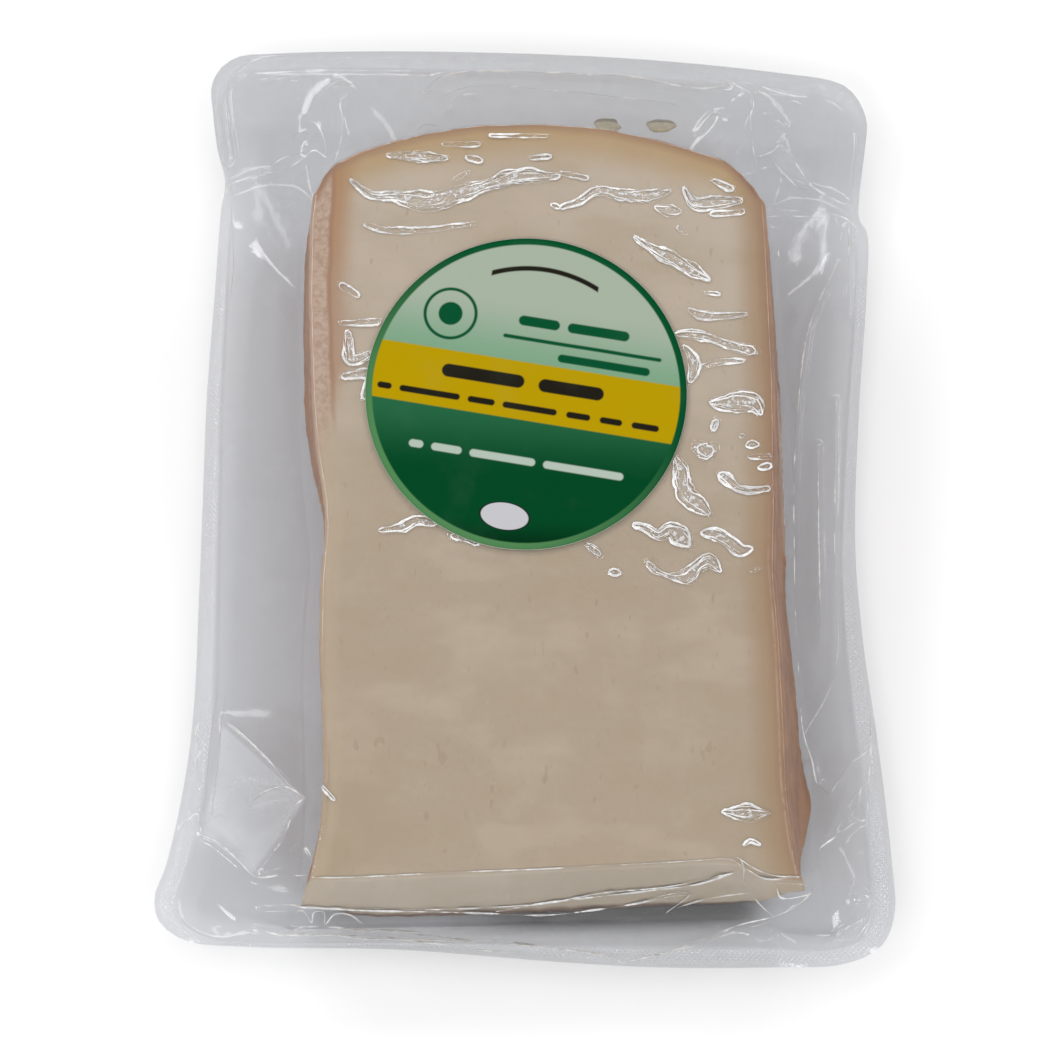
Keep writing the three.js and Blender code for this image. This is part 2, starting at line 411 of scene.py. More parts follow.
def cheese_finish():
    finish = Finish("goat_cheese")
    right, left, far = (finish.attribute(name) for name in ("from_right", "from_left", "from_far"))
    front, above_table = finish.attribute("cut_front"), finish.attribute("above_table")
    below_top = finish.attribute("below_top")
    point = finish.place()
    cloud = finish.noise(point, 24.0, 3.0)
    mottle = finish.noise(point, 7.0, 3.0, 0.6)
    grain = finish.noise(point, 1.3, 4.0, 0.65)
    speck = finish.noise(finish.place((1.6, 0.8, 1)), 2.2, 1.0)
    wander = (finish.noise(point, 8.0, 4.0, 0.6) - 0.5) * 3.0
    upper = 1 - far.rise(31.0, 46.0)
    dents = finish.noise(finish.place((0.55, 1.3, 1)), 9.0, 2.0)
    nicks = finish.noise(finish.place((2.4, 0.8, 1)), 1.7, 1.0)
    pits = finish.noise(finish.place((1, 1, 2.5)), 1.0, 4.0, 0.75)

    # Painted light: the paste is painted lighter towards the far end and darker towards the front, as
    # the light falls on the top.
    pale = finish.mix(1 - far.rise(8.0, 75.0), srgb(170, 151, 127), srgb(187, 171, 152))
    paste = finish.mix(cloud.rise(0.35, 0.7) * 0.5, pale, srgb(172, 152, 127))
    paste = finish.mix(mottle.rise(0.5, 0.75) * 0.3, paste, srgb(188, 172, 152))
    paste = finish.mix(grain.rise(0.5, 0.85) * 0.25, paste, srgb(192, 178, 158))
    paste = finish.mix(dents.rise(0.5, 0.7) * 0.35, paste, srgb(166, 146, 115))
    paste = finish.mix((1 - dents.rise(0.3, 0.48)) * 0.35, paste, srgb(192, 173, 152))
    corner = far.rise(84.0, 108.0) * (1 - left.rise(2.0, 15.0) * right.rise(1.0, 9.0))
    paste = finish.mix(corner * 0.55, paste, srgb(164, 144, 110))
    paste = finish.mix(speck.rise(0.71, 0.77) * 0.3, paste, srgb(146, 116, 84))
    paste = finish.mix(nicks.rise(0.7, 0.76) * 0.22, paste, srgb(146, 122, 90))
    face = finish.mix(cloud.rise(0.3, 0.7), srgb(183, 170, 152), srgb(172, 159, 139))
    # The cut front turns dark brown towards its foot, near the table.
    toe = 1 - (above_table + wander * 0.4).rise(4.6, 6.8)
    paste = finish.mix(front, paste, finish.mix(toe, face, srgb(112, 88, 70)))

    tan_far = 1 - (far + wander).rise(0.5, 8.0)
    colour = finish.mix(tan_far * 0.9, paste, srgb(173, 140, 88))
    tan_right = 1 - (right + wander * 0.5).rise(0.3, 6.0)
    colour = finish.mix(tan_right * (1 - front * 0.6) * 0.95, colour, srgb(157, 124, 86))
    tan_left = 1 - ((left + wander * 0.4) / (upper * 4.2 + 2.4)).rise(0.45, 1.1)
    left_tan = finish.mix(upper, srgb(180, 160, 131), srgb(166, 128, 98))
    left_tan = finish.mix(1 - far.rise(8.0, 26.0), left_tan, srgb(164, 118, 68))
    colour = finish.mix(tan_left * (1 - front * 0.6) * (upper * 0.3 + 0.6), colour, left_tan)
    left_at = left + wander * 0.25
    strip = (1 - left_at.rise(2.1, 2.7)) * upper
    bloom = finish.mix(pits.rise(0.4, 0.62), srgb(188, 163, 143), srgb(166, 136, 114))
    colour = finish.mix(strip * 0.85, colour, bloom)
    crack = (1 - abs(left_at - 2.65).rise(0.1, 0.6)) * upper
    colour = finish.mix(crack * 0.65, colour, srgb(150, 104, 68))
    nearest = right.math("MINIMUM", left + 1.2).math("MINIMUM", far)
    brown = (1 - (nearest + wander * 0.3).rise(0.0, 1.6)) * (1 - front)
    colour = finish.mix(brown * 0.7, colour, srgb(148, 108, 74))

    rind_colour = finish.mix(mottle.rise(0.35, 0.65), srgb(160, 110, 66), srgb(136, 88, 48))
    rind_colour = finish.mix(pits.rise(0.52, 0.7) * 0.5, rind_colour, srgb(178, 136, 92))
    rind = (1 - nearest.rise(-0.7, 0.4)).larger(below_top.rise(1.0, 2.5)) * (1 - front)
    colour = finish.mix(rind, colour, rind_colour)
    # Painted highlight: a thin pale line just inside the right edge, broken by the pits, stands in for
    # the glint of the film drawn tight over that edge.
    edge_glint = (1 - abs(right - 0.2).rise(0.05, 0.25)) * far.rise(45.0, 70.0)
    edge_glint = edge_glint * pits.rise(0.35, 0.55) * (1 - front)
    colour = finish.mix(edge_glint * 0.4, colour, srgb(190, 168, 146))

    relief = grain * 0.4 + dents * 2.5 + pits * (rind + (strip + brown) * 0.5)
    normal = finish.bump(relief, 0.16)
    return finish.solid({
        "Base Color": colour, "Roughness": 0.55, "Normal": normal,
        "Subsurface Weight": 0.12, "Subsurface Radius": (0.004, 0.0025, 0.0014),
        "Subsurface Scale": 0.6,
    })


def cheese_slab():
    bm = skirted_patch(84, 132, len(CHEESE_SHARES) + len(CHEESE_DROPS) - 1, closed=True)
    across, along, ring = parameters(bm)
    points = cheese_points(across, along, ring)
    u, v = in_slab(points[:, :2])
    inner = np.clip(u, LEFT_EDGE[-1][1], RIGHT_EDGE[-1][1])
    beyond_front = on_edge(FRONT_EDGE, inner) - v
    shaped(bm, "cheese_slab", points, {
        "from_right": on_edge(RIGHT_EDGE, v) - u,
        "from_left": u - on_edge(LEFT_EDGE, v),
        "from_far": on_edge(FAR_EDGE, inner) - v,
        "cut_front": ease(beyond_front, -0.2, 1.2),
        "above_table": points[:, 2],
        "below_top": top_height(points[:, 1]) - points[:, 2],
    }, cheese_finish())


cheese_slab()


# The film on top
# A clear sheet of barrier film, drawn down over the slab by the vacuum. It lies tight on
# the cheese, with small puckers, and stands off it in tents that run out to the weld.

EDGE_CORNERS = [(-56.6, -72.6, 5.4), (56.2, -73.4, 5.4), (56.0, 71.4, 8.8), (-57.2, 75.0, 9.0)]
EDGE_SIDES = [  # from corner to corner, how far across and along, and how high
    [(-52.2, -75.4, 5.5), (-43.0, -76.1, 5.6), (-19.4, -75.9, 5.8), (6.0, -77.1, 6.0),
     (20.0, -77.5, 6.0), (38.0, -77.1, 5.7), (50.5, -76.2, 5.5)],
    [(58.4, -68.5, 5.5), (58.2, -60.0, 5.5), (56.7, -42.0, 5.2), (54.8, -25.0, 5.0),
     (54.0, -9.0, 4.9), (55.4, 16.5, 5.0), (57.0, 34.8, 5.4), (57.3, 47.4, 6.1),
     (56.0, 49.6, 6.3), (56.1, 54.0, 6.6), (57.2, 63.0, 7.4), (57.5, 67.7, 8.0)],
    [(53.7, 74.0, 9.1), (50.6, 75.1, 9.3), (42.0, 75.8, 10.0), (27.7, 76.6, 11.0), (10.0, 77.0, 12.0),
     (-12.0, 77.3, 12.0), (-34.3, 77.5, 11.0), (-48.7, 77.5, 9.6),
     (-54.2, 77.0, 9.3)],
    [(-58.8, 71.5, 8.6), (-58.3, 66.5, 7.9), (-57.2, 60.0, 7.0), (-55.4, 53.5, 6.5), (-55.8, 49.0, 6.2),
     (-55.9, 32.0, 5.5), (-55.9, 14.0, 5.0), (-55.2, -4.0, 4.9), (-54.5, -21.0, 4.9),
     (-53.9, -40.0, 5.0), (-54.5, -52.0, 5.2), (-56.2, -64.0, 5.4), (-57.6, -69.0, 5.4)],
]


def smooth_span(p, q, r, s, steps):
    """The stretch from q to r of a smooth line through four points."""
    gaps = [np.linalg.norm(b - a) ** 0.5 for a, b in ((p, q), (q, r), (r, s))]
    enter = ((q - p) / gaps[0] - (r - p) / (gaps[0] + gaps[1]) + (r - q) / gaps[1]) * gaps[1]
    leave = ((r - q) / gaps[1] - (s - q) / (gaps[1] + gaps[2]) + (s - r) / gaps[2]) * gaps[1]
    t = np.linspace(0, 1, steps, endpoint=False)[:, None]
    return (q + enter * t + (3 * (r - q) - 2 * enter - leave) * t ** 2
            + (2 * (q - r) + enter + leave) * t ** 3)


def edge_sides():
    """The four sides of the welded edge, each from corner to corner in close steps."""
    stations = []
    starts = []
    for corner, side in zip(EDGE_CORNERS, EDGE_SIDES):
        starts.append(len(stations))
        stations += [corner, *side]
    stations = np.array(stations, float)
    count = len(stations)
    spans = [
        smooth_span(*(stations[(i + k) % count] for k in (-1, 0, 1, 2)), 24) for i in range(count)
    ]
    sides = []
    for start, end in zip(starts, starts[1:] + [count]):
        sides.append(np.vstack([*spans[start:end], stations[end % count]]))
    return sides


WELD = edge_sides()


def on_weld(across, along):
    """The point of the welded edge that belongs to a point on the patch's own edge."""
    result = np.zeros((len(across), 3))
    places = [
        (along <= 0, across), (across >= 1, along), (along >= 1, 1 - across), (across <= 0, 1 - along)
    ]
    for line, (here, share) in zip(WELD, places):
        steps = np.linalg.norm(np.diff(line, axis=0), axis=1)
        reach = np.concatenate([[0], np.cumsum(steps)]) / steps.sum()
        for axis in range(3):
            result[here, axis] = np.interp(share[here], reach, line[:, axis])
    return result


TENTS = [  # a crest from one point to another, and how far its flanks reach
    ((-33.5, -53.0, 12.0), (-50.5, -40.0, 5.0), 9),
    ((-33.5, -53.0, 12.0), (-50.0, -56.0, 5.4), 12),
    ((-33.5, -53.0, 12.0), (-42.0, -66.0, 5.0), 9),
    ((33.0, -63.0, 17.0), (40.0, -72.0, 4.8), 8),
    ((40.0, -58.0, 16.0), (51.0, -66.0, 5.2), 9),
    ((45.0, -62.0, 7.5), (55.0, -43.5, 5.2), 6),
    ((34.0, 41.0, 18.0), (55.5, 49.5, 6.6), 10),
    ((31.0, 45.0, 18.0), (37.0, 72.0, 10.6), 10),
    ((-30.0, 46.0, 18.0), (-36.0, 72.0, 10.6), 10),
    ((-33.5, 40.0, 18.0), (-54.0, 49.5, 6.8), 10),
]


def tented(points):
    lift = np.zeros(len(points))
    for start, end, flank in TENTS:
        start, end = np.array(start), np.array(end)
        run = end[:2] - start[:2]
        share = np.clip((points[:, :2] - start[:2]) @ run / (run @ run), 0, 1)
        away = np.linalg.norm(points[:, :2] - start[:2] - share[:, None] * run, axis=1) / flank
        rise = between(start[2], end[2], share) - points[:, 2]
        lift = np.maximum(lift, np.maximum(rise, 0) * np.maximum(0, 1 - away) ** 1.6)
    return lift


WALL_SHARES = np.array([
    0.02, 0.05, 0.08, 0.11, 0.14, 0.19, 0.25, 0.32, 0.39, 0.46, 0.54, 0.62, 0.7, 0.79, 0.88, 1.0,
])
WEB_STEPS = 24
SEAL_INSETS = np.array([5.6, 5.0, 4.6, 4.2, 3.8, 3.4, 3.0, 2.5, 1.8, 1.1, 0.5, 0.0])
FILM_GAP = 0.2
RIDGE_INSET, RIDGE_WIDTH, RIDGE_HEIGHT = 3.4, 0.55, 0.5


def film_points(across, along, ring):
    """The film over the slab, down its sides, and out over the web to the welded edge.
    Also gives how far a point is from the edge, and the share of the web that it is on."""
    plan = top_face(across, along)
    top = top_height(plan[:, 1]) + FILM_GAP
    offset = foot_offset(across, along)
    shares = np.concatenate([[0.0], WALL_SHARES, np.ones(WEB_STEPS + len(SEAL_INSETS))])
    share = shares[ring]
    wall = np.column_stack([plan + offset * share[:, None], wall_height(top, share)])

    weld = on_weld(across, along)
    web = np.maximum(0, ring - len(WALL_SHARES))
    width = np.maximum(np.linalg.norm(weld - wall, axis=1), 1e-6)
    scale = np.minimum(1, 0.7 * width / SEAL_INSETS[0])
    inset = np.concatenate([np.zeros(WEB_STEPS + 1), SEAL_INSETS])[web] * scale
    open_share = np.minimum(web, WEB_STEPS) / (WEB_STEPS + 0.6) * (1 - scale * SEAL_INSETS[0] / width)
    out = np.where(web > WEB_STEPS, 1 - inset / width, open_share)
    points = np.where((web > 0)[:, None], between(wall, weld, out[:, None]), wall)
    inset = np.where(web > 0, width * (1 - out), 99.0)
    return points, inset, np.where(web > 0, out, 0.0)


PUCKERS = [  # each a run of points on the top face, with half its width at each
    [(-24.6, 46.8, 0.3), (-19.5, 46.7, 1.0), (-14.8, 46.5, 0.4)],
    [(-11.9, 46.9, 0.4), (-9.3, 46.2, 0.4)],
    [(-13.6, 43.0, 0.4), (-11.2, 44.4, 0.3)],
    [(-30.3, 42.6, 0.3), (-26.6, 40.0, 0.5), (-23.0, 40.0, 0.8), (-19.1, 39.3, 1.6),
     (-16.1, 39.4, 1.5), (-13.0, 40.5, 1.3), (-8.5, 42.0, 1.0), (-4.3, 43.6, 1.3), (3.2, 44.0, 0.4)],
    [(-27.7, 35.1, 0.3), (-24.2, 34.3, 0.5), (-18.5, 34.4, 0.4), (-10.0, 35.7, 0.3)],
    [(-15.8, 48.9, 0.3), (-9.7, 49.1, 0.4)],
    [(-8.3, 50.6, 0.3), (1.1, 50.7, 0.3)],
    [(-1.8, 46.9, 0.3), (1.7, 47.3, 0.3)],
    [(1.9, 39.2, 0.3), (3.3, 38.7, 0.4)],
    [(-31.1, 25.1, 0.5), (-28.0, 23.2, 0.4)],
    [(-30.8, 18.7, 0.4), (-24.4, 19.2, 0.5)],
    [(-29.6, 17.6, 0.4), (-28.6, 12.9, 0.9), (-25.3, 14.1, 0.5)],
    [(-30.1, 10.1, 0.5), (-25.6, 10.5, 0.8), (-26.5, 6.7, 0.5)],
    [(3.2, 44.6, 0.3), (7.7, 43.7, 0.4)],
    [(3.3, 38.6, 0.3), (6.5, 39.9, 0.5), (9.5, 41.8, 0.8), (13.3, 41.0, 0.9), (17.8, 41.1, 0.9),
     (20.9, 42.0, 0.3)],
    [(18.4, 39.2, 0.3), (21.0, 38.6, 0.9), (22.6, 38.5, 0.3)],
    [(22.0, 35.9, 0.3), (23.6, 34.7, 0.3)],
    [(15.2, 34.2, 0.3), (17.5, 32.6, 0.6), (20.8, 30.8, 1.1), (24.2, 28.8, 1.1), (27.2, 27.3, 0.3)],
    [(23.0, 42.6, 0.3), (24.6, 40.0, 0.8), (27.5, 40.0, 1.0), (32.3, 40.6, 0.5)],
    [(27.2, 38.2, 0.3), (32.6, 38.8, 0.4)],
    [(27.5, 43.9, 0.4), (30.8, 42.4, 0.6)],
    [(26.3, 25.2, 0.3), (28.8, 25.0, 0.3)],
    [(23.8, 22.5, 0.3), (25.5, 21.6, 0.7), (28.2, 21.4, 0.6), (32.9, 21.8, 0.4)],
    [(21.8, 18.3, 0.3), (24.9, 18.3, 0.7), (28.9, 17.2, 0.6), (34.3, 15.8, 0.9)],
    [(23.2, 16.5, 0.3), (24.8, 14.0, 0.9), (24.2, 10.6, 0.5)],
    [(25.6, 13.0, 0.4), (29.0, 14.0, 0.5), (32.6, 14.3, 0.3)],
    [(27.2, 7.4, 0.3), (29.2, 7.6, 1.1), (32.0, 7.9, 1.7), (34.2, 7.4, 1.6), (35.3, 5.7, 0.6)],
    [(27.8, 3.0, 0.6), (28.4, 4.7, 0.6)],
    [(25.5, 0.4, 1.1), (26.8, -0.4, 1.6), (27.8, 0.1, 1.1)],
    [(32.0, 2.0, 0.4), (32.6, 2.5, 0.3)],
    [(32.9, 0.7, 0.3), (33.9, 1.0, 0.6), (34.9, 0.9, 0.3)],
    [(33.2, -1.0, 0.3), (36.8, -0.9, 0.5)],
    [(34.8, -2.7, 0.3), (36.8, -2.3, 0.6)],
    [(28.8, -3.8, 0.6), (30.2, -4.7, 0.8), (31.7, -5.9, 0.5), (33.7, -6.3, 0.5), (36.6, -5.9, 0.5)],
    [(22.1, -1.3, 0.3), (22.9, -3.3, 1.1), (23.2, -5.5, 1.2), (24.0, -7.4, 1.4), (25.6, -8.6, 1.4),
     (27.4, -10.2, 0.4)],
    [(15.6, -12.1, 0.4), (17.5, -12.5, 0.6), (19.5, -13.6, 0.8), (21.3, -12.7, 1.1),
     (23.0, -13.8, 1.7), (24.2, -15.1, 0.9)],
    [(26.1, -13.1, 0.4), (28.1, -13.2, 0.9), (30.0, -14.2, 0.8), (32.0, -15.6, 0.9),
     (33.9, -15.3, 0.3)],
    [(8.5, -15.4, 0.5), (10.7, -16.9, 0.6)],
    [(12.1, -19.5, 0.5), (13.8, -19.6, 0.5)],
    [(17.9, -17.8, 0.6), (19.2, -19.0, 0.5), (20.8, -19.7, 0.3), (22.6, -20.1, 0.8),
     (24.1, -19.8, 1.4), (25.8, -18.3, 0.9), (27.3, -17.5, 1.2), (29.1, -19.0, 0.3)],
    [(33.4, -18.8, 0.3), (35.1, -18.4, 0.4)],
    [(-23.3, -14.0, 0.3), (-21.3, -13.7, 0.4), (-19.5, -13.3, 0.8), (-17.8, -12.3, 0.8),
     (-14.4, -12.6, 0.5)],
    [(-12.2, -14.5, 0.6), (-10.2, -14.8, 0.6), (-7.9, -15.6, 0.5)],
    [(29.4, -54.9, 0.2), (33.0, -55.0, 1.2), (36.6, -54.9, 0.2)],
    [(32.6, -59.8, 0.2), (33.6, -59.0, 0.2), (35.1, -59.6, 0.2)],
    [(-30.4, -52.5, 0.2), (-28.1, -54.7, 0.2)],
    [(-34.4, -60.9, 0.2), (-31.8, -63.5, 0.2)],
]


def nearest_on_run(plan, run):
    """For each point, how far it is from a run of points, and the run's own value there."""
    away = np.full(len(plan), np.inf)
    value = np.zeros(len(plan))
    for (x0, y0, w0), (x1, y1, w1) in zip(run, run[1:]):
        start, step = np.array((x0, y0)), np.array((x1 - x0, y1 - y0))
        share = np.clip((plan - start) @ step / (step @ step), 0, 1)
        distance = np.linalg.norm(plan - start - share[:, None] * step, axis=1)
        closer = distance < away
        away = np.where(closer, distance, away)
        value = np.where(closer, between(w0, w1, share), value)
    return away, value


def pucker_depth(plan):
    """How far inside a pucker's outline a point lies, less than 0 outside."""
    inside = np.full(len(plan), -3.0)
    for run in PUCKERS:
        away, half_width = nearest_on_run(plan, run)
        inside = np.maximum(inside, half_width - away)
    return inside


CREASES = [  # each the crease's height and half its width, then a run of points along it
    (0.7, 1.4, [(51.8, 41.1), (47.2, 30.1), (45.2, 16.4), (44.1, -1.4), (44.0, -26.9), (44.5, -40.0),
                (46.3, -44.5), (47.1, -48.4), (48.6, -50.0)]),
    (0.5, 1.2, [(51.5, 16.5), (50.6, -8.0), (50.1, -30.9), (45.0, -40.8)]),
    (0.6, 1.7, [(48.3, 8.4), (48.1, -8.0), (48.1, -24.3)]),
    (0.5, 1.0, [(49.0, -49.8), (52.3, -45.1), (54.4, -43.5), (55.4, -42.6)]),
    (0.5, 0.9, [(55.6, -37.4), (55.4, -43.0), (54.8, -48.2), (54.1, -54.1), (52.9, -54.2)]),
    (0.6, 0.9, [(51.3, -54.6), (51.7, -51.9), (53.6, -49.0), (52.1, -53.4)]),
    (0.7, 1.1, [(52.9, -54.2), (49.7, -56.6), (46.0, -59.4), (44.8, -62.1), (44.2, -63.3)]),
    (0.5, 1.0, [(52.7, -66.1), (54.5, -66.5), (53.8, -68.8), (51.2, -70.7), (48.7, -72.9)]),
    (0.6, 1.0, [(-34.1, -53.4), (-37.2, -51.1), (-40.7, -47.3), (-45.7, -43.0), (-48.3, -41.1)]),
    (0.7, 1.0, [(-34.0, -53.5), (-35.7, -54.7), (-36.3, -56.7), (-37.7, -60.2), (-41.7, -64.9)]),
    (0.5, 0.9, [(-34.0, -53.5), (-37.8, -51.6), (-41.3, -52.5), (-43.2, -54.5)]),
    (0.6, 0.9, [(-50.9, -59.2), (-48.2, -60.3), (-45.3, -62.6), (-41.9, -65.4), (-37.9, -65.1),
                (-33.2, -65.0)]),
    (0.7, 0.9, [(-54.9, -58.9), (-53.6, -57.4), (-51.9, -55.9), (-51.2, -57.7), (-50.9, -59.2)]),
    (0.5, 0.9, [(-44.5, 61.7), (-43.8, 63.5), (-42.0, 63.6)]),
    (0.6, 1.0, [(-41.8, 65.5), (-40.0, 64.7), (-38.0, 60.9), (-37.7, 58.2), (-36.3, 57.6)]),
    (0.8, 1.2, [(-34.0, 68.6), (-35.2, 66.7), (-34.5, 62.8), (-34.6, 59.9), (-35.7, 56.6)]),
    (0.6, 1.0, [(-48.8, 55.4), (-46.5, 58.8), (-41.8, 60.7)]),
    (0.8, 1.1, [(-55.0, 51.5), (-54.3, 52.9), (-48.8, 55.9), (-45.5, 56.9), (-40.4, 60.2),
                (-37.7, 58.1)]),
    (0.5, 1.0, [(-55.4, 55.8), (-54.0, 57.7), (-55.4, 65.5), (-56.0, 69.9), (-54.9, 73.4),
                (-51.8, 76.0), (-46.5, 76.9)]),
    (0.4, 1.2, [(-50.4, 71.9), (-48.7, 72.7), (-43.0, 73.5)]),
    (0.5, 0.9, [(-21.0, 71.0), (-18.5, 73.0), (-14.6, 73.8), (-11.0, 74.0), (10.0, 73.8),
                (16.6, 73.7), (23.2, 72.9), (28.8, 72.5), (32.8, 73.1)]),
    (0.4, 0.8, [(-21.0, 71.0), (-17.1, 71.1), (-11.0, 72.0), (10.1, 71.0), (23.6, 70.0)]),
    (0.6, 0.9, [(-17.0, 67.7), (-14.9, 70.2), (-11.0, 70.8)]),
    (0.4, 1.6, [(-22.8, 62.6), (-21.2, 65.6), (-18.6, 65.7)]),
    (0.7, 1.1, [(32.8, 73.4), (36.3, 71.1), (37.0, 68.6), (36.3, 65.7), (36.7, 61.4), (37.7, 57.1)]),
    (0.4, 1.6, [(28.0, 66.0), (30.2, 68.0), (31.9, 67.1)]),
    (0.5, 0.9, [(39.5, 68.3), (41.7, 67.6), (43.2, 66.7)]),
    (0.6, 0.9, [(37.9, 59.5), (40.6, 61.5), (42.5, 63.2), (47.4, 56.4), (47.0, 55.5), (40.8, 60.3)]),
    (0.8, 1.1, [(34.8, 54.2), (37.2, 56.4), (40.2, 58.7), (42.4, 58.5), (47.6, 56.0), (54.8, 51.4)]),
    (0.9, 1.2, [(36.4, 52.9), (43.3, 51.2), (47.6, 49.8), (52.3, 49.0), (55.7, 47.0)]),
    (0.6, 1.0, [(38.6, 50.6), (43.3, 49.5), (49.3, 48.0)]),
    (0.5, 1.0, [(53.8, 47.9), (53.9, 41.3), (54.1, 31.9)]),
    (0.5, 0.8, [(-41.1, -69.8), (-36.4, -69.5), (-33.7, -70.0), (-24.3, -69.9), (-14.2, -69.8),
                (2.8, -68.5), (12.0, -66.8), (22.8, -65.5), (31.5, -63.5)]),
    (0.6, 0.7, [(-35.1, -70.7), (-33.8, -70.5), (-32.9, -72.2), (-32.2, -70.7), (-30.6, -70.6),
                (-30.9, -72.5), (-29.1, -70.9), (-26.7, -70.9), (-25.1, -72.0)]),
    (0.5, 0.8, [(-42.3, -73.0), (-37.5, -74.2), (-32.5, -73.7), (-24.6, -74.4), (-14.1, -74.3),
                (3.0, -74.9), (12.9, -76.0), (16.3, -77.1)]),
    (0.5, 0.9, [(44.2, -65.2), (42.0, -68.0), (39.6, -69.3), (34.1, -70.8), (28.3, -73.2),
                (18.6, -76.7)]),
    (0.6, 0.9, [(37.8, -64.9), (41.7, -65.0), (45.2, -65.3), (43.2, -66.3), (39.3, -66.8),
                (38.2, -65.6)]),
    (0.6, 0.9, [(18.5, -67.8), (23.2, -66.5), (25.9, -66.5), (22.8, -69.2)]),
    (0.5, 0.9, [(24.4, -68.4), (28.3, -67.2), (32.2, -66.5), (34.6, -66.2)]),
    (0.4, 1.4, [(-47.8, -68.7), (-45.2, -71.0), (-44.4, -71.3)]),
]


def creased(plan):
    lift = np.zeros(len(plan))
    for height, half_width, run in CREASES:
        away, _ = nearest_on_run(plan, [(x, y, 0) for x, y in run])
        lift = np.maximum(lift, height * np.maximum(0, 1 - (away / half_width) ** 2) ** 2)
    return lift


# The paleness of a facet is a painted reflection, standing in for the light that its taut film catches.
FACETS = [  # taut, flat pieces of film that catch the light: how pale, then their corners
    (0.20, [(-48.8, -41.7), (-51.1, -59.0), (-42.3, -65.0), (-33.8, -53.8)]),
    (0.10, [(43.0, 64.2), (40.5, 60.0), (48.1, 57.7)]),
    (0.12, [(38.4, 13.5), (40.4, -12.5), (42.2, -12.5), (40.6, 13.5)]),
]


def facet_painted_reflection(plan):
    """How pale the painted reflection makes the film where a facet, whose corners run counter-clockwise,
    lies.
    """
    paleness = np.zeros(len(plan))
    for pale, corners in FACETS:
        inside = np.full(len(plan), 9.0)
        for start, end in zip(corners, corners[1:] + corners[:1]):
            side = np.subtract(end, start)
            inward = np.array((-side[1], side[0])) / np.linalg.norm(side)
            inside = np.minimum(inside, (plan - start) @ inward)
        paleness = np.maximum(paleness, pale * ease(inside, -0.2, 0.5))
    return paleness


def film_finish(name, clearness, haze):
    finish = Finish(name)
    point = finish.place()
    names = ("from_edge", "on_web", "on_wall", "in_pucker", "on_facet", "painted_shade")
    inset, web, wall, inside, facet, painted_shade = (finish.attribute(n) for n in names)
    ripple = finish.noise(point, 7.0, 3.0, 0.55)
    crinkle = finish.noise(point, 0.8, 3.0, 0.65)
    blown = (inside + (finish.noise(point, 0.9, 2.0) - 0.5) * 0.5).rise(-0.15, 0.6)
    crumple = inside.rise(0.1, 0.5)
    knurl = finish.node("TexWave", {"wave_type": "BANDS", "bands_direction": "DIAGONAL"}, {
        "Vector": finish.place((1, 1, 0)), "Scale": 0.75,
    }) * finish.node("TexWave", {"wave_type": "BANDS", "bands_direction": "DIAGONAL"}, {
        "Vector": finish.place((-1, 1, 0)), "Scale": 0.75,
    })
    weld = (inset - 0.7).rise(0, 0.3) * (1 - (inset - 3.0).rise(0, 0.3))
    height = ripple * web * 0.25 + crinkle * web * 0.04 + blown * 0.4 + crinkle * crumple * 0.5
    height = height + ripple * 0.1 + knurl * weld * 0.2
    normal = finish.bump(height, 0.5)
    clear = finish.node("BsdfTransparent", None, {"Color": clearness})
    # Painted highlight: white specks in the crinkled film inside the puckers stand in for its glints.
    painted_sparkle = crumple * (crinkle.rise(0.52, 0.62) * 0.6 + 0.07)
    # The facets add a painted reflection to the milky share.
    veil = web * (ripple.rise(0.45, 0.8) * 0.06 + haze) + facet + weld * (knurl * 0.08 + 0.01)
    cover = veil + painted_sparkle + painted_shade + 0.015
    # Painted shade: where it is set, the milky share turns dark grey, standing in for shade on the
    # sheet.
    milky = finish.node("BsdfPrincipled", None, {
        "Base Color": finish.mix(painted_shade / cover, srgb(232, 235, 240), srgb(70, 68, 66)),
        "Roughness": 0.35, "Specular IOR Level": 0.2, "Normal": normal,
    })
    shine = finish.node("BsdfPrincipled", None, {
        "Base Color": (0.95, 0.95, 0.95, 1), "Metallic": 1.0,
        "Roughness": facet.rise(0.02, 0.12) * 0.34 + 0.06, "Normal": normal,
    })
    body = finish.node("MixShader", None, {0: cover, 1: clear, 2: milky})
    grazing = finish.node("LayerWeight", None, {"Blend": 0.5, "Normal": normal}, output="Facing")
    gloss = grazing.math("POWER", 5.0) * (0.6 - wall * 0.45) + 0.08 - web * 0.045 - wall * 0.035
    return finish.surface(finish.node("MixShader", None, {0: gloss, 1: body, 2: shine}))


def weld_ridge(inset):
    """The low ridge that the welding bar leaves along the edge."""
    return RIDGE_HEIGHT * np.exp(-((inset - RIDGE_INSET) / RIDGE_WIDTH) ** 2)


def film_on_top():
    bm = skirted_patch(166, 262, len(WALL_SHARES) + WEB_STEPS + len(SEAL_INSETS))
    across, along, ring = parameters(bm)
    points, inset, _ = film_points(across, along, ring)
    plan = points[:, :2]
    on_web = ease(ring.astype(float), 3, len(WALL_SHARES))
    on_wall = ease(ring.astype(float), 0, 5)
    on_wall *= 1 - ease(ring.astype(float), len(WALL_SHARES), len(WALL_SHARES) + 4)
    inside = pucker_depth(plan)
    points[:, 2] += tented(points)
    points[:, 2] += 0.12 * ease(inside, -0.3, 1.2) * (1 - on_web)
    points[:, 2] += weld_ridge(inset)
    points[:, 2] += 0.15 * waves(plan, 11, 8) * on_web * ease(inset, 2, 8)
    points[:, 2] += creased(plan) * ease(ring.astype(float), 1, 5) * ease(inset, 0, 1.5)
    piece = shaped(bm, "film_on_top", points, {
        "from_edge": inset, "on_web": on_web, "on_wall": on_wall, "in_pucker": inside,
        "on_facet": facet_painted_reflection(plan), "painted_shade": np.zeros(len(plan)),
    }, film_finish("clear_film", (0.967, 0.969, 0.973, 1), 0.02))
    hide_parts("vacuum_pack")
    return piece


top_film = film_on_top()
